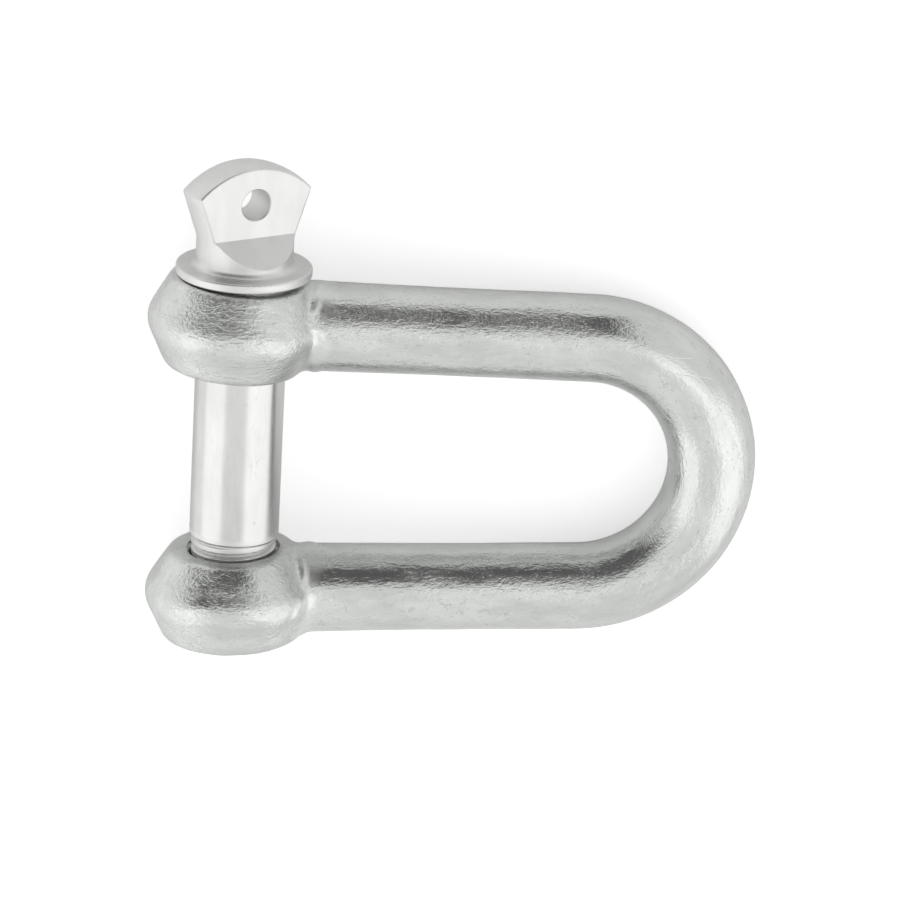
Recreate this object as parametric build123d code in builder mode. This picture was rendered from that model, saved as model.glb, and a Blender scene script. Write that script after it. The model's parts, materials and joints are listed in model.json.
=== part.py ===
from build123d import *

import os
from math import acos, asin, atan2, cos, hypot, radians, sin, tan

# A chain joining shackle of 16 mm size: a bar forged with an eye at each end and bent to a D,
# and the screw pin that closes it. It lies on its side, as it comes to rest on a table:
# on the rims of both eyes and on the crown of the bend.
# +X runs from the pin to the crown, +Y along the pin to its head, +Z is up.

# Bow: bar and bend
bar_diameter = 16.0
jaw_width = 34.6
arm_inset = 0.2
bend_width = 32.0
pin_to_bend = 62.4
neck_start = 8.0
neck_length = 34.0
neck_swell = 0.25

# Bow: eyes
eye_radius = 15.9
eye_face_radius = 12.2
tapped_jaw_face_radius = 11.2
tapped_outer_face_radius = 12.8
eye_extra_thickness = 0.8
eye_lean = 1.62
eye_rim_round = 5.0
eye_edge_round = 1.6
head_eye_offset = 1.1
crease_round = 2.0

# Fit of the pin in the two eyes, on the radius
plain_bore_gap = 0.4
tapped_bore_gap = 0.1
bore_chamfer = 0.6

# Pin: shank and threaded end
shank_diameter = 16.2
thread_diameter = 15.4
thread_lead_in = 2.9
thread_neck_length = 0.5
thread_neck_depth = 0.5
tip_recess = 0.3
tip_chamfer = 1.2

# Pin: collar and tab head
collar_radius = 12.2
collar_thickness = 1.7
collar_edge_round = 0.4
stem_radius = 8.7
stem_fillet = 1.3
stem_height = 7.0
tab_corner_radius = 11.6
tab_corner_height = 15.7
tab_dome_rise = 5.0
tab_thickness = 7.2
tab_shoulder_rise = 0.6
tab_shoulder_angle = 49.0
tab_turn = 25.7
wire_hole_diameter = 5.7
wire_hole_height = 13.7
wire_hole_edge = 0.15
tab_edge_round = 0.4

# Two sizes nearer than this are taken as the same when an edge is picked.
same_size = 0.001

# Worked out from the sizes above
bar_radius = bar_diameter / 2
bend_radius = (bend_width + bar_diameter) / 2
shank_radius = shank_diameter / 2
thread_radius = thread_diameter / 2
tab_shoulder_height = stem_height + tab_shoulder_rise
dome_height = tab_corner_height + tab_dome_rise
crown_reach = pin_to_bend + bend_radius

# The eyes are a little thicker than the bar, so that the arms stay inside their flat faces.
eye_thickness = bar_diameter + eye_extra_thickness
eye_half = eye_thickness / 2
arm_offset = jaw_width / 2 + eye_half - arm_inset

# The arms lean in from the eyes, and run on into the bend without a corner.
arm_lean = acos(bend_radius / hypot(pin_to_bend, arm_offset)) - atan2(pin_to_bend, arm_offset)
bend_start_x = pin_to_bend + bend_radius * sin(arm_lean)
bend_start_y = bend_radius * cos(arm_lean)
neck_end_x = neck_length * cos(arm_lean)
neck_end_y = arm_offset - neck_length * sin(arm_lean)

# Each eye leans a little more than its arm, and just leaves the jaw its width.
splay = arm_lean + radians(eye_lean)
eye_offset = jaw_width / 2 + eye_half / cos(splay)
tip_offset = -(eye_offset + eye_half - tip_recess)
shoulder_offset = -jaw_width / 2 + thread_lead_in

# The edge of the collar comes down on the splayed eye at the side farthest from the crown.
collar_flat_radius = collar_radius - collar_edge_round
seat_offset = eye_offset + eye_half / cos(splay) + collar_flat_radius * abs(tan(splay))
collar_top = seat_offset + collar_thickness

# The crown drops until it touches the same floor as the eyes.
lying_angle = asin((eye_radius - bar_radius) / crown_reach)

# The origin is at the middle of the whole part's footprint, on the floor.
back_reach = eye_radius + head_eye_offset * cos(lying_angle)
front_reach = crown_reach * cos(lying_angle) + bar_radius
low_reach = eye_offset + eye_half * cos(splay) + eye_face_radius * abs(sin(splay))
high_reach = seat_offset + dome_height
pin_x = (back_reach - front_reach) / 2
pin_y = (low_reach - high_reach) / 2

# Plane of the bow: its origin is on the pin's axis, midway between the arms.
bow_plane = Plane(
    origin=(pin_x, pin_y, eye_radius),
    x_dir=(cos(lying_angle), 0, -sin(lying_angle)),
    z_dir=(sin(lying_angle), 0, cos(lying_angle)),
)


def place(x, y):
    """Point of the bow's plane in the part's frame."""
    return bow_plane.from_local_coords(Vector(x, y, 0))


def across_pin(y):
    """Plane square to the pin at a distance along its axis, facing the pin's head."""
    return Plane(origin=place(0, y), x_dir=bow_plane.x_dir, z_dir=bow_plane.y_dir)


def across_arm(side, along):
    """Plane square to an arm, facing the crown, at a length along it from the pin's axis."""
    x = along * cos(arm_lean)
    y = side * (arm_offset - along * sin(arm_lean))
    heading = bow_plane.x_dir * cos(arm_lean) - bow_plane.y_dir * (side * sin(arm_lean))
    return Plane(origin=place(x, y), z_dir=heading)


def eye_plane(side, proud):
    """Plane of an eye's half section, which points away from the crown and splays outwards."""
    nose = bow_plane.y_dir * (side * sin(splay)) - bow_plane.x_dir * cos(splay)
    centre = place(0, side * eye_offset) + nose * proud
    return Plane(origin=centre, x_dir=nose, z_dir=-bow_plane.z_dir)


def rim_touch(face_radius):
    """Where a coned side, leaving the edge of a flat face, touches the arc of an eye's rim."""
    rim_centre = eye_radius - eye_rim_round
    edge_to_centre = hypot(rim_centre - face_radius, eye_half)
    side_length = (edge_to_centre**2 - eye_rim_round**2) ** 0.5
    heading = atan2(-eye_half, rim_centre - face_radius) + asin(eye_rim_round / edge_to_centre)
    return face_radius + side_length * cos(heading), eye_half + side_length * sin(heading)


# Each eye: which arm, how far it stands proud of the pin's axis, radius of its bore, and the
# radii of its two flat faces, the one towards the pin's head first
head_eye = (1, head_eye_offset, shank_radius + plain_bore_gap, eye_face_radius, eye_face_radius)
tapped_eye = (
    -1,
    0.0,
    thread_radius + tapped_bore_gap,
    tapped_jaw_face_radius,
    tapped_outer_face_radius,
)

# Bow: the bar runs down one arm, round the bend and back along the other.
with BuildPart() as bow:
    with BuildLine(bow_plane) as bar_path:
        Line((neck_end_x, neck_end_y), (bend_start_x, bend_start_y))
        ThreePointArc((bend_start_x, bend_start_y), (crown_reach, 0), (bend_start_x, -bend_start_y))
        Line((bend_start_x, -bend_start_y), (neck_end_x, -neck_end_y))
    with BuildSketch(across_arm(1, neck_length)):
        Circle(bar_radius)
    sweep(path=bar_path.wire())

    # Each arm swells gently towards its eye, a barrel with flat faces, coned sides and a round
    # rim, which splays outwards a little.
    for side, proud, bore_radius, head_face, tip_face in (head_eye, tapped_eye):
        with BuildSketch(across_arm(side, neck_start)):
            Circle(bar_radius + neck_swell)
        with BuildSketch(across_arm(side, neck_length)):
            Circle(bar_radius)
        loft()
        head_x, head_y = rim_touch(head_face)
        tip_x, tip_y = rim_touch(tip_face)
        with BuildSketch(eye_plane(side, proud)) as eye_section:
            with BuildLine():
                Polyline(
                    (head_x, head_y),
                    (head_face, eye_half),
                    (0, eye_half),
                    (0, -eye_half),
                    (tip_face, -eye_half),
                    (tip_x, -tip_y),
                )
                ThreePointArc((tip_x, -tip_y), (eye_radius, 0), (head_x, head_y))
            make_face()
            corners = eye_section.vertices().filter_by(lambda v: abs(v.Y) > eye_half - same_size)
            fillet(corners.filter_by(lambda v: v.X > bore_radius), eye_edge_round)
        revolve(axis=Axis(eye_plane(side, proud).origin, eye_plane(side, proud).y_dir))

    # A soft crease where each swollen arm runs into its eye
    fillet(bow.edges().filter_by(GeomType.BSPLINE), crease_round)

    # The bores: plain under the pin's head, tapped at the other end
    for side, proud, bore_radius, head_face, tip_face in (head_eye, tapped_eye):
        walls = bow.faces()
        with Locations(across_pin(side * eye_offset + eye_thickness)):
            Hole(bore_radius, depth=2 * eye_thickness)
        wall = (bow.faces() - walls).filter_by(GeomType.CYLINDER)
        chamfer(wall.edges().filter_by(GeomType.ELLIPSE), bore_chamfer)

# Pin: turned about its axis, from the threaded tip up to the domed head
thread_neck_radius = thread_radius - thread_neck_depth

with BuildPart() as pin:
    with BuildSketch(bow_plane):
        with BuildLine():
            Polyline(
                (0, tip_offset),
                (thread_radius - tip_chamfer, tip_offset),
                (thread_radius, tip_offset + tip_chamfer),
                (thread_radius, shoulder_offset - thread_neck_length),
                (thread_neck_radius, shoulder_offset - thread_neck_length),
                (thread_neck_radius, shoulder_offset),
                (shank_radius, shoulder_offset),
                (shank_radius, seat_offset),
                (collar_radius, seat_offset),
                (collar_radius, collar_top),
                (stem_radius, collar_top),
                (stem_radius, seat_offset + stem_height),
                (tab_corner_radius, seat_offset + tab_corner_height),
            )
            TangentArc(
                (0, seat_offset + dome_height),
                (tab_corner_radius, seat_offset + tab_corner_height),
                tangent=(1, 0),
            )
            Line((0, seat_offset + dome_height), (0, tip_offset))
        make_face()
    revolve(axis=Axis(place(0, 0), bow_plane.y_dir))

    # Rounded collar rim, and the root of the stem on the collar
    rim = pin.edges().filter_by(
        lambda e: e.geom_type == GeomType.CIRCLE and abs(e.radius - collar_radius) < same_size
    )
    fillet(rim, collar_edge_round)
    root = pin.edges().filter_by(
        lambda e: e.geom_type == GeomType.CIRCLE
        and abs(e.radius - stem_radius) < same_size
        and (e.arc_center - place(0, collar_top)).length < same_size
    )
    fillet(root, stem_fillet)

    # Two flats make the tab. Each ends in a slanted shoulder that runs out of the round stem.
    turn = radians(tab_turn)
    tab_normal = bow_plane.x_dir * sin(turn) + bow_plane.z_dir * cos(turn)
    tab_section = Plane(
        origin=place(0, seat_offset),
        x_dir=tab_normal,
        z_dir=bow_plane.z_dir * sin(turn) - bow_plane.x_dir * cos(turn),
    )
    tab_half = tab_thickness / 2
    clear_reach = collar_radius + tab_corner_radius
    shoulder_foot = collar_thickness + collar_edge_round
    shoulder_run = (tab_shoulder_height - shoulder_foot) * tan(radians(tab_shoulder_angle))
    with BuildSketch(tab_section):
        with BuildLine():
            Polyline(
                (tab_half, dome_height),
                (tab_half, tab_shoulder_height),
                (tab_half + shoulder_run, shoulder_foot),
                (tab_half + shoulder_run + clear_reach, shoulder_foot),
                (tab_half + shoulder_run + clear_reach, dome_height),
                close=True,
            )
        make_face()
        mirror(about=Plane.YZ)
    extrude(amount=clear_reach, both=True, mode=Mode.SUBTRACT)

    # Hole through the tab for the seizing wire or a bar to tighten with
    hole_centre = place(0, seat_offset + wire_hole_height)
    with Locations(Plane(origin=hole_centre + tab_normal * tab_half, z_dir=tab_normal)):
        Hole(wire_hole_diameter / 2, depth=tab_thickness)
    hole_rims = pin.edges().filter_by(
        lambda e: e.geom_type == GeomType.CIRCLE
        and abs(e.radius - wire_hole_diameter / 2) < same_size
    )
    chamfer(hole_rims, wire_hole_edge)

    # Softened edges round the tab, above its shoulders and clear of the hole
    shoulder_top = place(0, seat_offset + tab_shoulder_height)
    tab_edges = pin.edges().filter_by(
        lambda e: (e.center() - shoulder_top).dot(bow_plane.y_dir) > same_size
        and (e.center() - hole_centre).length > wire_hole_diameter
    )
    fillet(tab_edges, tab_edge_round)

bow.part.label = "bow"
pin.part.label = "pin"

os.makedirs("parts", exist_ok=True)
export_step(bow.part, "parts/bow.step")
export_step(pin.part, "parts/pin.step")
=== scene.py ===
import json
from math import atan2, cos, hypot, pi, radians, sin

import bmesh
import bpy
from mathutils import Matrix, Vector


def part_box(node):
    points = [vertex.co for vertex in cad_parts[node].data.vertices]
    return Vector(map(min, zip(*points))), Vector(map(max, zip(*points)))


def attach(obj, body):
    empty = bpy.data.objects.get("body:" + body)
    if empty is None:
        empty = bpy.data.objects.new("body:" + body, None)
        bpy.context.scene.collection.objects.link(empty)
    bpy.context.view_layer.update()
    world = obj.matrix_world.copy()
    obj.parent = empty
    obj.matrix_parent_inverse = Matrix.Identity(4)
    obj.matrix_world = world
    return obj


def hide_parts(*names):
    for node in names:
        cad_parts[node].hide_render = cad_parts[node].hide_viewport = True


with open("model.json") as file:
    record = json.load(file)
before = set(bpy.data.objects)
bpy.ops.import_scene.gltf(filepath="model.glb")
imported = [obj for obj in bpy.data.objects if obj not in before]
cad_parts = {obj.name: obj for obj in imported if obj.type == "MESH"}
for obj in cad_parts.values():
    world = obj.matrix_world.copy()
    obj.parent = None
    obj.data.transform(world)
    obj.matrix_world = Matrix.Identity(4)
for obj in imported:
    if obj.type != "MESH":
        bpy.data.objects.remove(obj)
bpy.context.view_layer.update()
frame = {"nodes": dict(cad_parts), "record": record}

bl_info = {
    "name": "Chain joining shackle",
    "version": (1, 0, 0),
    "blender": (4, 5, 0),
    "location": "3D View > Sidebar > Shackle",
    "description": "Dresses a galvanised screw-pin shackle and lights it",
    "category": "Add Mesh",
}

MM = 0.001

# Places read from the frame
PIN_LOW, PIN_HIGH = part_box("pin")
BOW_LOW, BOW_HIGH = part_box("bow")
PIN_AXIS_X = (PIN_LOW.x + PIN_HIGH.x) / 2
PIN_AXIS_Z = (PIN_LOW.z + PIN_HIGH.z) / 2
TIP_Y = PIN_LOW.y
CROWN_X = BOW_HIGH.x
MOUNTS = {mount["name"]: mount for mount in frame["record"]["mounts"]}
BOW_MID_Y = MOUNTS["crown_seat"]["pos_m"][1]

# Sizes of the forging that the patterns follow
BAR_RADIUS = 8.0 * MM
BEND_RADIUS = 24.0 * MM
BEND_X = CROWN_X - BAR_RADIUS - BEND_RADIUS
QUARTER_BEND = pi / 2 * BEND_RADIUS
ARM_OFFSET = 25.5 * MM
ROOT_FROM_AXIS = 13.5 * MM
# Length along the bar, from the crown's middle, to the roots of the arms in their eyes
ROOT_ALONG = QUARTER_BEND + BEND_X - PIN_AXIS_X - ROOT_FROM_AXIS

# Sizes of the threaded end, as the solid has them
THREAD_RADIUS = 7.7 * MM
NECK_RADIUS = 7.2 * MM
NECK_LENGTH = 0.5 * MM
THREADED_LENGTH = 19.4 * MM
TIP_CHAMFER = 1.2 * MM
SHOULDER_Y = TIP_Y + THREADED_LENGTH
COLLAR_Y = PIN_HIGH.y - 20.7 * MM

# Sizes of the tapped eye's thread: a ring that lies in its bore, a little short of both mouths
TAPPED_RADIUS = 7.8 * MM
WIDENED_RADIUS = 8.45 * MM
RING_RADIUS = 9.2 * MM
RING_FROM = TIP_Y + 0.7 * MM
RING_TO = TIP_Y + 15.5 * MM
RING_LEAD = 0.5 * MM

# What both threads share: the groove's share of the pitch, how far it takes to reach its full
# depth, how far past the thread's ends it starts, and how near the wall the outline has to lie
GROOVE_SHARE = 0.62
THREAD_FADE = 0.8 * MM
THREAD_OVERRUN = 0.2 * MM
WALL_REACH = 1.3 * MM

# Points nearer than this are one point
SEAM_GAP = 0.004 * MM
SOLID_GAP = 0.001 * MM

# Edges sharper than these stay sharp
BOW_SHARP_ANGLE = radians(50)
PIN_SHARP_ANGLE = radians(28)

# Ridge of zinc at the roots: how far it wanders, the size of its bends, half its crest, and
# half its foot
RIDGE_WANDER = 7.0 * MM
RIDGE_BEND_SCALE = 160.0
RIDGE_CREST = 0.2 * MM
RIDGE_FOOT = 1.4 * MM

# Scales in the zinc's pattern, as multiples of its grain's
CLOUD_SCALE = 0.3
FLECK_SCALE = 5.0
WRINKLE_SCALE = 1.3
BREAK_SCALE = 1.8

# Scales of the marks that don't depend on the grain
DROP_SCALE = 85.0
SPECK_SCALE = 260.0
SCRATCH_SCALE = 300.0
SCRATCHED_PATCH_SCALE = 110.0
SMEAR_EDGE_SCALE = 220.0

# Turn of the scratches from the bar's direction, and how they are drawn out along it
SCRATCH_TURN = radians(38.0)
SCRATCH_STRETCH = (0.04, 1.0, 0.35)

# Values of the wrinkles at which the painted shade and the painted highlight of a crease run, as a
# dark and a light thin line, and their half width
CREASE_SHADE_LEVEL = 0.5
CREASE_HIGHLIGHT_LEVEL = 0.535
CREASE_LIGHT_WIDTH = 0.022

# What a smear of zinc changes
SMEAR_LIGHTER = 0.25
SMEAR_DULLER = 0.16
SMEAR_EVENER = 0.45

# How the camera and the metal see the floor: a glow for each, and for the metal a brighter
# one to the left of the object, from one X to the other
FLOOR_SEEN = 0.5
FLOOR_REFLECTED_LEFT = 0.24
FLOOR_REFLECTED = 0.06
FLOOR_LEFT_EDGE = (-80.0 * MM, -60.0 * MM)

# Soft edges in the tent, in degrees from the line to the camera: each pair is where the edge
# starts and ends. Lift is towards the top of the picture, side towards its right.
PANEL_BOTTOM = (-54.0, -44.0)
PANEL_TOP = (-14.0, 2.0)
BETWEEN_LEFT = (-36.0, -28.0)
BETWEEN_RIGHT = (16.0, 26.0)
HIGH_LIFT = (20.0, 60.0)
OPENING_BOTTOM = (3.0, 12.0)
OPENING_TOP = (54.0, 60.0)
OPENING_LEFT = (-54.0, -42.0)
OPENING_RIGHT = (20.0, 30.0)

# Brightness in the tent, as shares of the light level
PLAIN_LIGHT = 0.66
HIGH_DROP = 0.08
PANEL_RISE = 0.32


# Node helpers


def add_node(tree, kind, inputs=None, **settings):
    """A node of that kind, with its settings and its unlinked or linked inputs."""
    node = tree.nodes.new(kind)
    for name, value in settings.items():
        setattr(node, name, value)
    for key, value in (inputs or {}).items():
        socket = node.inputs[key]
        if isinstance(value, bpy.types.NodeSocket):
            tree.links.new(value, socket)
        else:
            socket.default_value = value
    return node


def math(tree, operation, *values):
    """The output of a Math node."""
    inputs = dict(enumerate(values))
    return add_node(tree, "ShaderNodeMath", inputs, operation=operation).outputs[0]


def plus(tree, first, second):
    return math(tree, "ADD", first, second)


def minus(tree, first, second):
    return math(tree, "SUBTRACT", first, second)


def times(tree, first, second):
    return math(tree, "MULTIPLY", first, second)


def distance(tree, first, second):
    """How far apart two values are."""
    return math(tree, "ABSOLUTE", minus(tree, first, second))


def vector_math(tree, operation, first, second):
    """The vector that a Vector Math node makes of two."""
    inputs = {0: first, 1: second}
    return add_node(tree, "ShaderNodeVectorMath", inputs, operation=operation).outputs[0]


def split(tree, vector):
    """The three outputs of a Separate XYZ node."""
    return add_node(tree, "ShaderNodeSeparateXYZ", {0: vector}).outputs


def join(tree, x, y, z):
    """The output of a Combine XYZ node."""
    return add_node(tree, "ShaderNodeCombineXYZ", {0: x, 1: y, 2: z}).outputs[0]


def drawn_along(tree, vector, streak):
    """The vector squeezed along the bar, which draws the patterns on it out lengthwise."""
    return vector_math(tree, "MULTIPLY", vector, join(tree, streak, 1.0, 1.0))


def ramp(tree, value, low, high, to_low=0.0, to_high=1.0, smooth=True):
    """A value taken from one range to another, clamped, with soft ends where smooth is set."""
    kind = "SMOOTHSTEP" if smooth else "LINEAR"
    inputs = {"Value": value, 1: low, 2: high, 3: to_low, 4: to_high}
    node = add_node(tree, "ShaderNodeMapRange", inputs, interpolation_type=kind, clamp=True)
    return node.outputs["Result"]


def fall(tree, value, low, high):
    """1 below a range and 0 above it."""
    return ramp(tree, value, low, high, 1.0, 0.0)


def noise(tree, vector, scale, detail=2.0, roughness=0.5):
    """The factor of a Noise Texture."""
    inputs = {"Vector": vector, "Scale": scale, "Detail": detail, "Roughness": roughness}
    return add_node(tree, "ShaderNodeTexNoise", inputs).outputs[0]


def mix_colour(tree, factor, first, second):
    """The output of a Mix node between two colours."""
    inputs = {0: factor, 6: first, 7: second}
    return add_node(tree, "ShaderNodeMix", inputs, data_type="RGBA").outputs[2]


def new_tree(name, kind, inputs, outputs):
    """A tree with its named inputs and outputs, and what its inputs give."""
    tree = bpy.data.node_groups.new(name, kind)
    for label, socket_type, default in inputs:
        socket = tree.interface.new_socket(label, in_out="INPUT", socket_type=socket_type)
        if default is not None:
            socket.default_value = default
    for label, socket_type in outputs:
        tree.interface.new_socket(label, in_out="OUTPUT", socket_type=socket_type)
    return tree, tree.nodes.new("NodeGroupInput").outputs


def finish_mesh(tree, mesh, material):
    """Ends a Geometry Nodes tree: real faces in their material."""
    real = add_node(tree, "GeometryNodeRealizeInstances", {"Geometry": mesh}).outputs[0]
    inputs = {"Geometry": real, "Material": material}
    painted = add_node(tree, "GeometryNodeSetMaterial", inputs).outputs[0]
    add_node(tree, "NodeGroupOutput", {0: painted})


# Mesh helpers


def solid_copy(node_name):
    """The CAD node's mesh as a bmesh, with its loose triangles joined."""
    source = frame["nodes"][node_name].data
    mesh = bmesh.new()
    places = [mesh.verts.new(vertex.co) for vertex in source.vertices]
    for face in source.polygons:
        mesh.faces.new([places[index] for index in face.vertices])
    bmesh.ops.remove_doubles(mesh, verts=mesh.verts, dist=SOLID_GAP)
    return mesh


def object_from(mesh, name):
    """An object at the origin that holds the bmesh, which is freed."""
    data = bpy.data.meshes.new(name)
    mesh.to_mesh(data)
    mesh.free()
    piece = bpy.data.objects.new(name, data)
    bpy.context.scene.collection.objects.link(piece)
    return piece


def bake_modifiers(piece):
    """Makes the piece's modifiers part of its mesh; a curve becomes a new mesh object."""
    bpy.context.view_layer.update()
    evaluated = piece.evaluated_get(bpy.context.evaluated_depsgraph_get())
    data = bpy.data.meshes.new_from_object(evaluated)
    data.name = piece.name
    piece.modifiers.clear()
    if isinstance(piece.data, bpy.types.Mesh):
        piece.data = data
        return piece
    baked = bpy.data.objects.new(piece.name + "_mesh", data)
    bpy.context.scene.collection.objects.link(baked)
    bpy.data.objects.remove(piece)
    return baked


def nodes_modifier(piece, tree, values):
    """Puts a Geometry Nodes tree on the piece, with its inputs set by name."""
    modifier = piece.modifiers.new(tree.name, "NODES")
    modifier.node_group = tree
    for item in tree.interface.items_tree:
        if item.item_type == "SOCKET" and item.in_out == "INPUT" and item.name in values:
            modifier[item.identifier] = values[item.name]


def shade(piece, sharp_angle):
    """Smooth shading, with edges sharper than the angle left sharp."""
    piece.data.shade_smooth()
    piece.data.set_sharp_from_angle(angle=sharp_angle)


def turned_piece(context, name, outline, shape, zinc):
    """A mesh object that the thread tree turns from an outline of radius against length.
    shape holds the tree's inputs that aren't the same for both threads."""
    curve = bpy.data.curves.new(name, "CURVE")
    curve.dimensions = "3D"
    line = curve.splines.new("POLY")
    line.points.add(len(outline) - 1)
    for point, (radius, y) in zip(line.points, outline):
        point.co = (radius, y, 0.0, 1.0)
    profile = bpy.data.objects.new(name, curve)
    context.scene.collection.objects.link(profile)
    values = {
        "Pitch": context.scene.shackle_pin.pitch,
        "Groove Share": GROOVE_SHARE,
        "Fade": THREAD_FADE,
        "Axis Place": (PIN_AXIS_X, 0.0, PIN_AXIS_Z),
        "Material": zinc,
        **shape,
    }
    nodes_modifier(profile, thread_tree(), values)
    return bake_modifiers(profile)


# Geometry Nodes trees


def thread_tree():
    """A turned body with a screw thread: its profile, a curve of radius against length, is
    carried round the pin's axis, and the thread is cut in, or cut the other way where its
    depth is less than zero."""
    if "turned_thread" in bpy.data.node_groups:
        return bpy.data.node_groups["turned_thread"]
    inputs = (
        ("Geometry", "NodeSocketGeometry", None),
        ("Around", "NodeSocketInt", 128),
        ("Along", "NodeSocketInt", 300),
        ("Pitch", "NodeSocketFloat", 2.0 * MM),
        ("Depth", "NodeSocketFloat", 0.6 * MM),
        ("Groove Share", "NodeSocketFloat", 0.6),
        ("Thread From", "NodeSocketFloat", 0.0),
        ("Thread To", "NodeSocketFloat", 0.0),
        ("Fade", "NodeSocketFloat", 1.0 * MM),
        ("Cut Radius", "NodeSocketFloat", 0.0),
        ("Axis Place", "NodeSocketVector", None),
        ("Material", "NodeSocketMaterial", None),
    )
    outputs = (("Geometry", "NodeSocketGeometry"),)
    tree, given = new_tree("turned_thread", "GeometryNodeTree", inputs, outputs)

    # A flat grid, whose width becomes the turn and whose height runs along the profile
    grid = add_node(
        tree,
        "GeometryNodeMeshGrid",
        {"Size X": 1.0, "Size Y": 1.0, "Vertices X": given["Around"], "Vertices Y": given["Along"]},
    ).outputs
    flat = split(tree, grid["UV Map"])
    profile = add_node(
        tree,
        "GeometryNodeSampleCurve",
        {"Curves": given["Geometry"], "Factor": flat["Y"]},
        mode="FACTOR",
        use_all_curves=True,
    ).outputs["Position"]
    drawn = split(tree, profile)
    radius, length = drawn["X"], drawn["Y"]

    # One turn of the thread rises by its pitch; the groove is a V with a share of the pitch.
    turns = minus(tree, math(tree, "DIVIDE", length, given["Pitch"]), flat["X"])
    place = math(tree, "FRACT", turns)
    off_centre = distance(tree, times(tree, place, 2.0), 1.0)
    groove = fall(tree, off_centre, 0.0, given["Groove Share"])

    # It fades in and out at its ends, and is cut only where the profile is the wall.
    full_from = plus(tree, given["Thread From"], given["Fade"])
    full_to = minus(tree, given["Thread To"], given["Fade"])
    lead_in = ramp(tree, length, given["Thread From"], full_from)
    run_out = ramp(tree, length, given["Thread To"], full_to)
    off_wall = distance(tree, radius, given["Cut Radius"])
    on_wall = math(tree, "LESS_THAN", off_wall, WALL_REACH)
    cut = times(tree, times(tree, groove, on_wall), times(tree, lead_in, run_out))
    cut_radius = minus(tree, radius, times(tree, cut, given["Depth"]))

    angle = times(tree, flat["X"], 2 * pi)
    x = times(tree, cut_radius, math(tree, "SINE", angle))
    z = times(tree, cut_radius, math(tree, "COSINE", angle))
    placed = vector_math(tree, "ADD", join(tree, x, length, z), given["Axis Place"])
    turned = add_node(
        tree, "GeometryNodeSetPosition", {"Geometry": grid["Mesh"], "Position": placed}
    ).outputs[0]
    closed = add_node(
        tree, "GeometryNodeMergeByDistance", {"Geometry": turned, "Distance": SEAM_GAP}
    ).outputs[0]
    finish_mesh(tree, closed, given["Material"])
    return tree


def forged_tree():
    """The uneven skin of a forging under its zinc: broad hollows, then lumps of zinc. Its
    points move inwards, so the piece keeps to its size, but for the ridges in the two
    corners between arm and eye."""
    inputs = (
        ("Geometry", "NodeSocketGeometry", None),
        ("Hollow Scale", "NodeSocketFloat", 70.0),
        ("Hollow Depth", "NodeSocketFloat", 0.2 * MM),
        ("Lump Scale", "NodeSocketFloat", 330.0),
        ("Lump Height", "NodeSocketFloat", 0.08 * MM),
        ("Streak", "NodeSocketFloat", 0.4),
        ("Root Place", "NodeSocketFloat", 85.0 * MM),
        ("Root Ridge", "NodeSocketFloat", 0.3 * MM),
        ("Seed", "NodeSocketFloat", 4.0),
        ("Material", "NodeSocketMaterial", None),
    )
    outputs = (("Geometry", "NodeSocketGeometry"),)
    tree, given = new_tree("forged_skin", "GeometryNodeTree", inputs, outputs)
    bar_place = add_node(
        tree, "GeometryNodeInputNamedAttribute", {"Name": "bar_place"}, data_type="FLOAT_VECTOR"
    ).outputs["Attribute"]
    moved = vector_math(tree, "ADD", bar_place, join(tree, 0.0, given["Seed"], 0.0))
    hollow = noise(tree, moved, given["Hollow Scale"], detail=1.0)
    lump = noise(tree, drawn_along(tree, moved, given["Streak"]), given["Lump Scale"])
    depth = plus(
        tree,
        times(tree, ramp(tree, hollow, 0.3, 0.75), given["Hollow Depth"]),
        times(tree, ramp(tree, lump, 0.35, 0.7), given["Lump Height"]),
    )

    # Zinc has gathered in a crooked ridge where each arm meets its eye.
    along = math(tree, "ABSOLUTE", split(tree, bar_place)["X"])
    wander = minus(tree, noise(tree, moved, RIDGE_BEND_SCALE), 0.5)
    wander = times(tree, wander, RIDGE_WANDER)
    from_root = plus(tree, minus(tree, along, given["Root Place"]), wander)
    ridge = fall(tree, math(tree, "ABSOLUTE", from_root), RIDGE_CREST, RIDGE_FOOT)
    ridge = times(tree, ridge, ramp(tree, lump, 0.4, 0.6, 0.3, 1.0))
    depth = minus(tree, depth, times(tree, ridge, given["Root Ridge"]))

    outwards = tree.nodes.new("GeometryNodeInputNormal").outputs[0]
    inwards = add_node(
        tree,
        "ShaderNodeVectorMath",
        {0: outwards, "Scale": times(tree, depth, -1.0)},
        operation="SCALE",
    ).outputs[0]
    sunk = add_node(
        tree, "GeometryNodeSetPosition", {"Geometry": given["Geometry"], "Offset": inwards}
    ).outputs[0]
    finish_mesh(tree, sunk, given["Material"])
    return tree


# Materials


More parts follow.
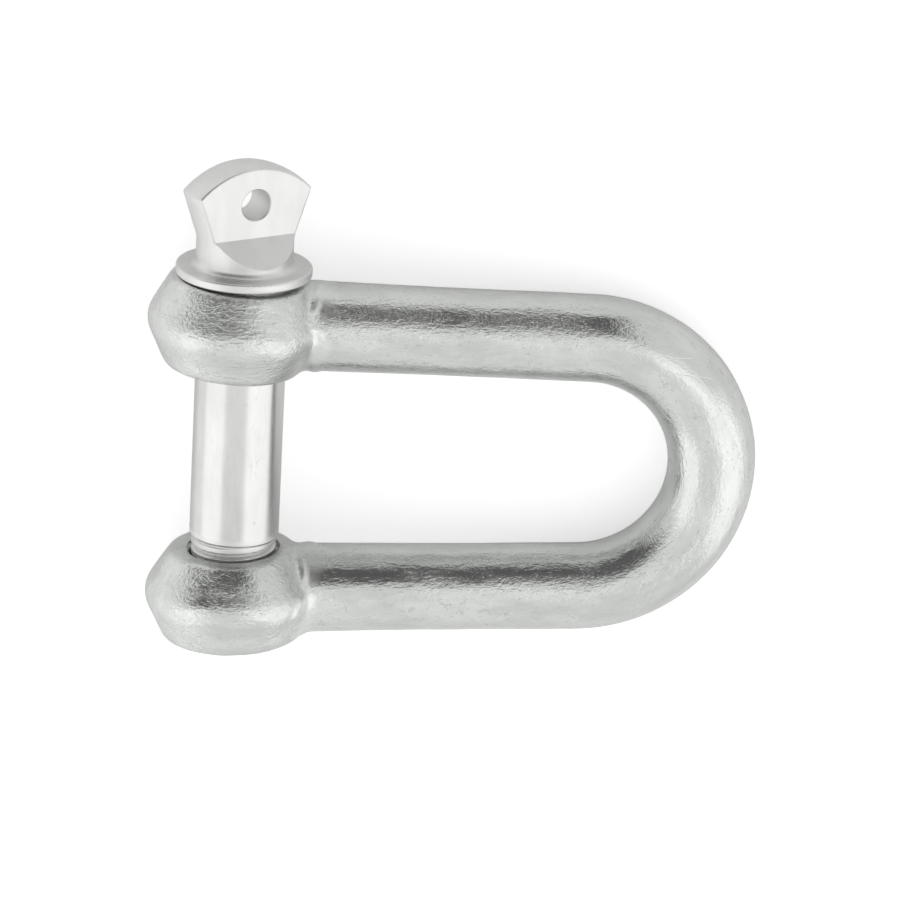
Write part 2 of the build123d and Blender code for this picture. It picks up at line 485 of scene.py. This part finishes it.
def zinc_skin_group():
    """What zinc does to a surface, shared by both pieces: the tone of its grains, with painted
    shade and painted highlight along its creases, where it is duller, and how high it stands."""
    if "zinc_skin" in bpy.data.node_groups:
        return bpy.data.node_groups["zinc_skin"]
    inputs = (
        ("Vector", "NodeSocketVector", None),
        ("Grain Scale", "NodeSocketFloat", 420.0),
        ("Streak", "NodeSocketFloat", 0.35),
        ("Smooth Share", "NodeSocketFloat", 0.3),
        ("Flakes", "NodeSocketFloat", 0.2),
        ("Grit", "NodeSocketFloat", 0.3),
        # Strength of the painted shade and painted highlight along the zinc's creases
        ("Painted Crease Shading", "NodeSocketFloat", 0.5),
        ("Drops", "NodeSocketFloat", 0.0),
        ("Specks", "NodeSocketFloat", 0.0),
        ("Scratches", "NodeSocketFloat", 0.0),
    )
    outputs = [(name, "NodeSocketFloat") for name in ("Tone", "Dull", "Height")]
    tree, given = new_tree("zinc_skin", "ShaderNodeTree", inputs, outputs)
    vector, scale = given["Vector"], given["Grain Scale"]
    along_bar = drawn_along(tree, vector, given["Streak"])

    # Grain, in clouds, with finer grit and flakes where it is rough
    cloud_scale = times(tree, scale, CLOUD_SCALE)
    fleck_scale = times(tree, scale, FLECK_SCALE)
    cloud = noise(tree, along_bar, cloud_scale, detail=3.0, roughness=0.6)
    grain = noise(tree, along_bar, scale, detail=4.0, roughness=0.6)
    grit = noise(tree, vector, fleck_scale, detail=3.0, roughness=0.65)
    flake = noise(tree, along_bar, fleck_scale, detail=2.0, roughness=0.6)
    fine = plus(
        tree,
        times(tree, ramp(tree, flake, 0.4, 0.7), given["Flakes"]),
        times(tree, grit, given["Grit"]),
    )
    rough_patch = ramp(tree, cloud, 0.42, 0.58, given["Smooth Share"], 1.0)
    height = plus(tree, grain, times(tree, fine, rough_patch))

    # Small drops of zinc, far apart
    cells = add_node(tree, "ShaderNodeTexVoronoi", {"Vector": vector, "Scale": DROP_SCALE})
    drop = plus(tree, cells.outputs["Distance"], times(tree, grit, 0.03))
    drop = fall(tree, drop, 0.015, 0.06)
    height = plus(tree, height, times(tree, drop, given["Drops"]))

    # A few long scratches, aslant to the bar
    aslant = add_node(
        tree,
        "ShaderNodeVectorRotate",
        {"Vector": vector, "Angle": SCRATCH_TURN},
        rotation_type="Z_AXIS",
    ).outputs[0]
    aslant = vector_math(tree, "MULTIPLY", aslant, SCRATCH_STRETCH)
    scratch = noise(tree, aslant, SCRATCH_SCALE, detail=1.0)
    scratch = fall(tree, distance(tree, scratch, 0.5), 0.0, 0.018)
    scratched = ramp(tree, noise(tree, vector, SCRATCHED_PATCH_SCALE), 0.6, 0.66)
    scratch = times(tree, times(tree, scratch, scratched), given["Scratches"])
    height = minus(tree, height, times(tree, scratch, 0.3))

    # Painted shade and painted highlight of the creases where the zinc has wrinkled as it set:
    # short thin lines, dark beside light, put in the tone with no relief of their own
    wrinkle_scale = times(tree, scale, WRINKLE_SCALE)
    wrinkle = noise(tree, along_bar, wrinkle_scale, detail=5.0, roughness=0.7)
    broken = noise(tree, vector, times(tree, scale, BREAK_SCALE), detail=1.0)
    broken = ramp(tree, broken, 0.5, 0.6)
    broken = times(tree, broken, ramp(tree, cloud, 0.4, 0.6, 0.35, 1.0))

    def painted_crease_line(level):
        line = fall(tree, distance(tree, wrinkle, level), 0.0, CREASE_LIGHT_WIDTH)
        return times(tree, line, broken)

    # Dark specks, as if pricked with a needle
    pricks = add_node(tree, "ShaderNodeTexVoronoi", {"Vector": vector, "Scale": SPECK_SCALE})
    kept = math(tree, "GREATER_THAN", split(tree, pricks.outputs["Color"])["X"], 0.6)
    speck = times(tree, fall(tree, pricks.outputs["Distance"], 0.03, 0.07), kept)

    mottle = plus(tree, times(tree, cloud, 0.6), times(tree, grain, 0.4))
    tone = ramp(tree, mottle, 0.38, 0.62, 0.5, 0.9)
    # The creases' painted shade is taken off the tone, then their painted highlight is added beside
    # it
    tone = minus(tree, tone, times(tree, painted_crease_line(CREASE_SHADE_LEVEL), given["Painted Crease Shading"]))
    crease_highlight_share = times(tree, given["Painted Crease Shading"], 0.5)
    tone = plus(tree, tone, times(tree, painted_crease_line(CREASE_HIGHLIGHT_LEVEL), crease_highlight_share))
    tone = minus(tree, tone, times(tree, speck, given["Specks"]))
    tone = plus(tree, tone, times(tree, scratch, 0.3))
    dull = ramp(tree, cloud, 0.42, 0.62)
    add_node(tree, "NodeGroupOutput", {"Tone": tone, "Dull": dull, "Height": height})
    return tree


def smear_mask(tree, source, along, middle, half_width):
    """1 where zinc has run together, with a ragged edge: round the middle of both arms'
    roots, which lie as far along the bar on either side of the crown."""
    off = math(tree, "ABSOLUTE", minus(tree, along, middle))
    ragged = times(tree, noise(tree, source, SMEAR_EDGE_SCALE, detail=3.0), half_width * 3)
    off = plus(tree, off, minus(tree, ragged, half_width * 1.5))
    return fall(tree, off, half_width * 0.4, half_width)


def zinc_material(name, colours, roughness, skin, bump, rougher, attribute=None, smear=None):
    """Zinc-coated steel. colours are its darker and lighter tone, roughness its range, skin
    the values of the zinc skin and bump the strength and depth of its relief. rougher says
    where the zinc is rougher: from where to where along the piece, how much duller and
    lighter it gets there, and its relief away from there as a share of the relief there.
    smear is where zinc has run together smooth and light: its middle and its half width
    along the piece. The pattern runs along the piece: by the attribute, or along Y where
    there is none."""
    material = bpy.data.materials.new(name)
    material.use_nodes = True
    tree = material.node_tree
    shader = tree.nodes["Principled BSDF"]
    if attribute:
        source = add_node(tree, "ShaderNodeAttribute", attribute_name=attribute).outputs["Vector"]
    else:
        place = split(tree, add_node(tree, "ShaderNodeTexCoord").outputs["Object"])
        source = join(tree, place["Y"], place["X"], place["Z"])
    zinc = add_node(tree, "ShaderNodeGroup", node_tree=zinc_skin_group())
    tree.links.new(source, zinc.inputs["Vector"])
    for key, value in skin.items():
        zinc.inputs[key].default_value = value

    rougher_from, rougher_to, duller, lighter, even_share = rougher
    along = math(tree, "ABSOLUTE", split(tree, source)["X"])
    at_end = ramp(tree, along, rougher_from, rougher_to)
    tone = plus(tree, zinc.outputs["Tone"], times(tree, at_end, lighter))
    dull = ramp(tree, zinc.outputs["Dull"], 0.0, 1.0, *roughness, smooth=False)
    share = ramp(tree, at_end, 0.0, 1.0, even_share, 1.0, smooth=False)
    if smear:
        smeared = smear_mask(tree, source, along, *smear)
        tone = plus(tree, tone, times(tree, smeared, SMEAR_LIGHTER))
        dull = plus(tree, dull, times(tree, smeared, SMEAR_DULLER))
        uneven = minus(tree, 1.0, times(tree, smeared, SMEAR_EVENER))
        share = times(tree, share, uneven)

    dark, light = ((*colour, 1.0) for colour in colours)
    tree.links.new(mix_colour(tree, tone, dark, light), shader.inputs["Base Color"])
    shader.inputs["Metallic"].default_value = 1.0
    rough = plus(tree, dull, times(tree, at_end, duller))
    tree.links.new(rough, shader.inputs["Roughness"])
    height = times(tree, zinc.outputs["Height"], share)
    relief = add_node(
        tree,
        "ShaderNodeBump",
        {"Strength": bump[0], "Distance": bump[1], "Height": height},
    )
    tree.links.new(relief.outputs[0], shader.inputs["Normal"])
    return material


# Settings that a user would change


class BowSettings(bpy.types.PropertyGroup):
    """Sizes and colours of the galvanised bow."""

    grid_size: bpy.props.FloatProperty(
        name="Grid size",
        description="Width of the faces that the forging's skin is made of",
        default=0.5 * MM,
        unit="LENGTH",
        precision=5,
    )
    hollow_depth: bpy.props.FloatProperty(
        name="Hollow depth",
        description="How far the broad hollows of the forging sink in",
        default=0.06 * MM,
        unit="LENGTH",
        precision=5,
    )
    lump_height: bpy.props.FloatProperty(
        name="Lump height",
        description="How far the lumps of zinc stand up",
        default=0.03 * MM,
        unit="LENGTH",
        precision=5,
    )
    root_ridge: bpy.props.FloatProperty(
        name="Root ridge",
        description="Height of the zinc gathered where the arms meet the eyes",
        default=0.24 * MM,
        unit="LENGTH",
        precision=5,
    )
    tapped_depth: bpy.props.FloatProperty(
        name="Tapped depth",
        description="Depth of the thread in the tapped eye under its zinc",
        default=0.55 * MM,
        unit="LENGTH",
        precision=5,
    )
    dark_zinc: bpy.props.FloatVectorProperty(
        name="Dark zinc",
        description="Darker tone of the hot-dip zinc",
        default=(0.51, 0.525, 0.505),
        size=3,
        subtype="COLOR",
    )
    light_zinc: bpy.props.FloatVectorProperty(
        name="Light zinc",
        description="Lighter tone of the hot-dip zinc",
        default=(0.78, 0.795, 0.775),
        size=3,
        subtype="COLOR",
    )


class PinSettings(bpy.types.PropertyGroup):
    """Sizes and colours of the screw pin."""

    pitch: bpy.props.FloatProperty(
        name="Pitch",
        description="Rise of the thread in one turn",
        default=2.0 * MM,
        unit="LENGTH",
        precision=5,
    )
    groove_depth: bpy.props.FloatProperty(
        name="Groove depth",
        description="Depth of the pin's thread under its zinc",
        default=0.75 * MM,
        unit="LENGTH",
        precision=5,
    )
    dark_zinc: bpy.props.FloatVectorProperty(
        name="Dark zinc",
        description="Darker tone of the plated zinc",
        default=(0.57, 0.57, 0.56),
        size=3,
        subtype="COLOR",
    )
    light_zinc: bpy.props.FloatVectorProperty(
        name="Light zinc",
        description="Lighter tone of the plated zinc",
        default=(0.79, 0.79, 0.78),
        size=3,
        subtype="COLOR",
    )


class StageSettings(bpy.types.PropertyGroup):
    """Camera, floor and light."""

    camera_tilt: bpy.props.FloatProperty(
        name="Camera tilt",
        description="Angle from straight overhead towards the pin's head",
        default=radians(20.02),
        subtype="ANGLE",
    )
    camera_swing: bpy.props.FloatProperty(
        name="Camera swing",
        description="Angle from overhead towards the crown",
        default=radians(-0.55),
        subtype="ANGLE",
    )
    camera_roll: bpy.props.FloatProperty(
        name="Camera roll",
        description="Turn of the camera about its own line of sight",
        default=radians(3.13),
        subtype="ANGLE",
    )
    camera_distance: bpy.props.FloatProperty(
        name="Camera distance",
        description="From the camera to the point that it looks at",
        default=900.5 * MM,
        unit="LENGTH",
    )
    camera_aim: bpy.props.FloatVectorProperty(
        name="Camera aim",
        description="Point that the camera looks at",
        default=(-0.19 * MM, -7.09 * MM, 15.9 * MM),
        size=3,
        subtype="TRANSLATION",
    )
    camera_field: bpy.props.FloatProperty(
        name="Field of view",
        description="Angle across the picture",
        default=radians(10.294),
        subtype="ANGLE",
    )
    floor_size: bpy.props.FloatProperty(
        name="Floor size",
        description="Width of the square floor",
        default=3.0,
        unit="LENGTH",
    )
    floor_colour: bpy.props.FloatVectorProperty(
        name="Floor colour",
        description="Colour of the floor",
        default=(0.9, 0.9, 0.9),
        size=3,
        subtype="COLOR",
    )
    light_level: bpy.props.FloatProperty(
        name="Light level",
        description="Brightness of the white tent round the object",
        default=1.3,
    )
    dark_level: bpy.props.FloatProperty(
        name="Dark level",
        description="Brightness of the open side of the tent, as a share of the rest",
        default=0.15,
        subtype="FACTOR",
    )


# Bow


class SHACKLE_OT_bow(bpy.types.Operator):
    """Makes the forged, hot-dip galvanised bow with its tapped eye"""

    bl_idname = "shackle.bow"
    bl_label = "Make the bow"

    def execute(self, context):
        settings = context.scene.shackle_bow
        skin = {
            "Grain Scale": 420.0,
            "Streak": 0.36,
            "Smooth Share": 0.6,
            "Flakes": 0.2,
            "Grit": 0.55,
            # Strength of the painted shade and painted highlight along the zinc's creases
            "Painted Crease Shading": 0.8,
            "Drops": 0.5,
            "Specks": 0.4,
            "Scratches": 0.6,
        }
        zinc = zinc_material(
            "hot_dip_zinc",
            (settings.dark_zinc, settings.light_zinc),
            roughness=(0.12, 0.24),
            skin=skin,
            bump=(1.0, 0.2 * MM),
            rougher=(ROOT_ALONG - 6 * MM, ROOT_ALONG + 2 * MM, 0.04, 0.0, 0.62),
            attribute="bar_place",
            smear=(ROOT_ALONG - 0.5 * MM, 3.0 * MM),
        )
        bow = object_from(solid_copy("bow"), "bow_forging")
        remesh = bow.modifiers.new("even_faces", "REMESH")
        remesh.mode = "VOXEL"
        remesh.voxel_size = settings.grid_size
        smooth = bow.modifiers.new("soften", "SMOOTH")
        smooth.factor = 0.5
        smooth.iterations = 4
        bake_modifiers(bow)
        cut_tapped_thread(context, bow, settings, zinc)
        mark_bar_places(bow.data)
        values = {
            "Hollow Depth": settings.hollow_depth,
            "Lump Height": settings.lump_height,
            "Root Place": ROOT_ALONG,
            "Root Ridge": settings.root_ridge,
            "Material": zinc,
        }
        nodes_modifier(bow, forged_tree(), values)
        bake_modifiers(bow)
        shade(bow, BOW_SHARP_ANGLE)
        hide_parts("bow")
        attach(bow, "bow")
        return {"FINISHED"}


def cut_tapped_thread(context, bow, settings, zinc):
    """Widens the bore of the tapped eye and lays a ring with the inner thread in it."""
    for vertex in bow.data.vertices:
        across = vertex.co.x - PIN_AXIS_X
        up = vertex.co.z - PIN_AXIS_Z
        radius = hypot(across, up)
        if vertex.co.y < BOW_MID_Y and radius < WIDENED_RADIUS:
            vertex.co.x = PIN_AXIS_X + across * WIDENED_RADIUS / radius
            vertex.co.z = PIN_AXIS_Z + up * WIDENED_RADIUS / radius
    outline = (
        (RING_RADIUS, RING_FROM),
        (TAPPED_RADIUS + RING_LEAD, RING_FROM),
        (TAPPED_RADIUS, RING_FROM + RING_LEAD),
        (TAPPED_RADIUS, RING_TO - RING_LEAD),
        (TAPPED_RADIUS + RING_LEAD, RING_TO),
        (RING_RADIUS, RING_TO),
        (RING_RADIUS, RING_FROM),
    )
    shape = {
        "Around": 85,
        "Along": 160,
        "Depth": -settings.tapped_depth,
        "Thread From": RING_FROM,
        "Thread To": RING_TO,
        "Cut Radius": TAPPED_RADIUS,
    }
    ring = turned_piece(context, "tapped_ring", outline, shape, zinc)
    joined = bmesh.new()
    joined.from_mesh(bow.data)
    joined.from_mesh(ring.data)
    bpy.data.objects.remove(ring)
    bmesh.ops.recalc_face_normals(joined, faces=joined.faces)
    joined.to_mesh(bow.data)
    joined.free()


def mark_bar_places(data):
    """Stores where each point lies on the unbent bar: along it, across it and up. The
    patterns read it, so they follow the bend."""
    places = data.attributes.new("bar_place", "FLOAT_VECTOR", "POINT")
    spread = (ARM_OFFSET - BEND_RADIUS) / (BEND_X - PIN_AXIS_X)
    drop = (PIN_AXIS_Z - BAR_RADIUS) / (CROWN_X - BAR_RADIUS - PIN_AXIS_X)
    for vertex, place in zip(data.vertices, places.data):
        x = vertex.co.x - BEND_X
        y = vertex.co.y - BOW_MID_Y
        if x > 0:
            along = atan2(y, x) * BEND_RADIUS
            across = hypot(x, y) - BEND_RADIUS
        else:
            side = 1 if y > 0 else -1
            along = side * (QUARTER_BEND - x)
            across = abs(y) - BEND_RADIUS + spread * x
        up = vertex.co.z - PIN_AXIS_Z + drop * (vertex.co.x - PIN_AXIS_X)
        place.vector = (along, across, up)


# Pin


class SHACKLE_OT_pin(bpy.types.Operator):
    """Makes the zinc-plated screw pin, with its thread"""

    bl_idname = "shackle.pin"
    bl_label = "Make the screw pin"

    def execute(self, context):
        settings = context.scene.shackle_pin
        skin = {
            "Grain Scale": 300.0,
            "Streak": 0.3,
            "Smooth Share": 0.6,
            "Flakes": 0.0,
            "Grit": 0.3,
            "Painted Crease Shading": 0.3,
            # Strength of the painted shade and painted highlight along the zinc's creases
            "Drops": 0.0,
            "Specks": 0.9,
            "Scratches": 0.0,
        }
        zinc = zinc_material(
            "plated_zinc",
            (settings.dark_zinc, settings.light_zinc),
            roughness=(0.2, 0.24),
            skin=skin,
            bump=(0.15, 0.03 * MM),
            rougher=(COLLAR_Y - 1 * MM, COLLAR_Y, 0.2, 0.3, 1.6),
        )

        # The head and shank keep the solid's faces down to the middle of the thread's neck.
        body = solid_copy("pin")
        cut_y = SHOULDER_Y - NECK_LENGTH / 2
        bmesh.ops.bisect_plane(
            body,
            geom=list(body.verts) + list(body.edges) + list(body.faces),
            plane_co=(0, cut_y, 0),
            plane_no=(0, 1, 0),
            clear_inner=True,
        )
        open_edges = [edge for edge in body.edges if edge.is_boundary]
        bmesh.ops.holes_fill(body, edges=open_edges, sides=0)

        # The threaded end is turned anew from there.
        outline = (
            (0.0, cut_y),
            (NECK_RADIUS, cut_y),
            (NECK_RADIUS, SHOULDER_Y - NECK_LENGTH),
            (THREAD_RADIUS, SHOULDER_Y - NECK_LENGTH),
            (THREAD_RADIUS, TIP_Y + TIP_CHAMFER),
            (THREAD_RADIUS - TIP_CHAMFER, TIP_Y),
            (0.0, TIP_Y),
        )
        shape = {
            "Around": 145,
            "Along": 420,
            "Depth": settings.groove_depth,
            "Thread From": TIP_Y + THREAD_OVERRUN,
            "Thread To": SHOULDER_Y - NECK_LENGTH + THREAD_OVERRUN,
            "Cut Radius": THREAD_RADIUS,
        }
        threaded_end = turned_piece(context, "threaded_end", outline, shape, zinc)
        body.from_mesh(threaded_end.data)
        bpy.data.objects.remove(threaded_end)
        bmesh.ops.recalc_face_normals(body, faces=body.faces)
        pin = object_from(body, "screw_pin")
        pin.data.materials.append(zinc)
        shade(pin, PIN_SHARP_ANGLE)
        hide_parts("pin")
        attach(pin, "pin")
        return {"FINISHED"}


# Stage


class SHACKLE_OT_stage(bpy.types.Operator):
    """Makes the floor, the white tent of light and the camera"""

    bl_idname = "shackle.stage"
    bl_label = "Make the stage"

    def execute(self, context):
        settings = context.scene.shackle_stage
        tilt, swing = settings.camera_tilt, settings.camera_swing
        back = Vector((sin(swing), cos(swing) * sin(tilt), cos(swing) * cos(tilt)))
        level = Vector((0, 1, 0)).cross(back).normalized()
        turn = Matrix.Rotation(settings.camera_roll, 3, back)
        right = turn @ level
        up = back.cross(right)

        lens = bpy.data.cameras.new("camera")
        lens.sensor_fit = "HORIZONTAL"
        lens.angle = settings.camera_field
        lens.clip_start = 0.01
        lens.clip_end = 50.0
        camera = bpy.data.objects.new("camera", lens)
        context.scene.collection.objects.link(camera)
        turned = Matrix((right, up, back)).transposed().to_4x4()
        place = Vector(settings.camera_aim) + back * settings.camera_distance
        camera.matrix_world = Matrix.Translation(place) @ turned
        context.scene.camera = camera

        make_floor(settings)
        make_tent(context, settings, right, up)
        context.scene.view_settings.view_transform = "Standard"
        return {"FINISHED"}


def make_floor(settings):
    """A white floor, which the camera sees brighter than it is lit, and so does the metal,
    most of all to its left."""
    mesh = bmesh.new()
    bmesh.ops.create_grid(mesh, x_segments=1, y_segments=1, size=settings.floor_size / 2)
    floor = object_from(mesh, "floor")
    material = bpy.data.materials.new("floor_white")
    material.use_nodes = True
    tree = material.node_tree
    shader = tree.nodes["Principled BSDF"]
    shader.inputs["Base Color"].default_value = (*settings.floor_colour, 1.0)
    shader.inputs["Roughness"].default_value = 0.9
    shader.inputs["Specular IOR Level"].default_value = 0.0
    seen = add_node(tree, "ShaderNodeLightPath").outputs
    x = split(tree, add_node(tree, "ShaderNodeTexCoord").outputs["Object"])["X"]
    reflected = ramp(tree, x, *FLOOR_LEFT_EDGE, FLOOR_REFLECTED_LEFT, FLOOR_REFLECTED)
    glow = plus(
        tree,
        times(tree, seen["Is Camera Ray"], FLOOR_SEEN),
        times(tree, seen["Is Glossy Ray"], reflected),
    )
    shader.inputs["Emission Color"].default_value = (1.0, 1.0, 1.0, 1.0)
    tree.links.new(glow, shader.inputs["Emission Strength"])
    floor.data.materials.append(material)


def make_tent(context, settings, right, up):
    """The light round the object: a white tent that is open on the side of the pin's head,
    with brighter panels low on its left and right."""
    world = bpy.data.worlds.new("white_tent")
    world.use_nodes = True
    tree = world.node_tree
    tree.nodes.clear()
    heading = add_node(tree, "ShaderNodeTexCoord").outputs["Generated"]

    def degrees_towards(axis):
        inputs = {0: heading, 1: tuple(axis)}
        dot = add_node(tree, "ShaderNodeVectorMath", inputs, operation="DOT_PRODUCT")
        return times(tree, math(tree, "ARCSINE", dot.outputs["Value"]), 180 / pi)

    def inside(value, start, end):
        return times(tree, ramp(tree, value, *start), fall(tree, value, *end))

    lift, side = degrees_towards(up), degrees_towards(right)

    # Bright panels low on the left and on the right, plain light between and above them
    between = inside(side, BETWEEN_LEFT, BETWEEN_RIGHT)
    panels = inside(lift, PANEL_BOTTOM, PANEL_TOP)
    panels = times(tree, panels, minus(tree, 1.0, between))
    plain = minus(tree, PLAIN_LIGHT, times(tree, ramp(tree, lift, *HIGH_LIFT), HIGH_DROP))
    level = plus(tree, plain, times(tree, panels, PANEL_RISE))

    # The open side of the tent, towards the pin's head
    opening = inside(lift, OPENING_BOTTOM, OPENING_TOP)
    opening = times(tree, opening, ramp(tree, side, *OPENING_LEFT))
    opening = times(tree, opening, fall(tree, side, *OPENING_RIGHT))
    dark = times(tree, opening, 1.0 - settings.dark_level)
    level = times(tree, level, minus(tree, 1.0, dark))
    strength = times(tree, level, settings.light_level)

    # The camera sees plain white past the floor.
    seen = add_node(tree, "ShaderNodeLightPath").outputs["Is Camera Ray"]
    unseen = times(tree, strength, minus(tree, 1.0, seen))
    inputs = {"Color": (1.0, 1.0, 1.0, 1.0), "Strength": plus(tree, unseen, seen)}
    light = add_node(tree, "ShaderNodeBackground", inputs)
    add_node(tree, "ShaderNodeOutputWorld", {"Surface": light.outputs[0]})
    context.scene.world = world


# Sidebar and registration


class VIEW3D_PT_shackle(bpy.types.Panel):
    """Lists the pieces and their settings"""

    bl_label = "Shackle"
    bl_space_type = "VIEW_3D"
    bl_region_type = "UI"
    bl_category = "Shackle"

    def draw(self, context):
        layout = self.layout
        for operator, settings in (
            ("shackle.bow", context.scene.shackle_bow),
            ("shackle.pin", context.scene.shackle_pin),
            ("shackle.stage", context.scene.shackle_stage),
        ):
            box = layout.box()
            box.operator(operator)
            for name in settings.__annotations__:
                box.prop(settings, name)


CLASSES = (
    BowSettings,
    PinSettings,
    StageSettings,
    SHACKLE_OT_bow,
    SHACKLE_OT_pin,
    SHACKLE_OT_stage,
    VIEW3D_PT_shackle,
)


def register():
    for cls in CLASSES:
        bpy.utils.register_class(cls)
    bpy.types.Scene.shackle_bow = bpy.props.PointerProperty(type=BowSettings)
    bpy.types.Scene.shackle_pin = bpy.props.PointerProperty(type=PinSettings)
    bpy.types.Scene.shackle_stage = bpy.props.PointerProperty(type=StageSettings)


def unregister():
    del bpy.types.Scene.shackle_stage
    del bpy.types.Scene.shackle_pin
    del bpy.types.Scene.shackle_bow
    for cls in reversed(CLASSES):
        bpy.utils.unregister_class(cls)


def main():
    register()
    bpy.ops.shackle.bow()
    bpy.ops.shackle.pin()
    bpy.ops.shackle.stage()


if __name__ == "__main__":
    main()
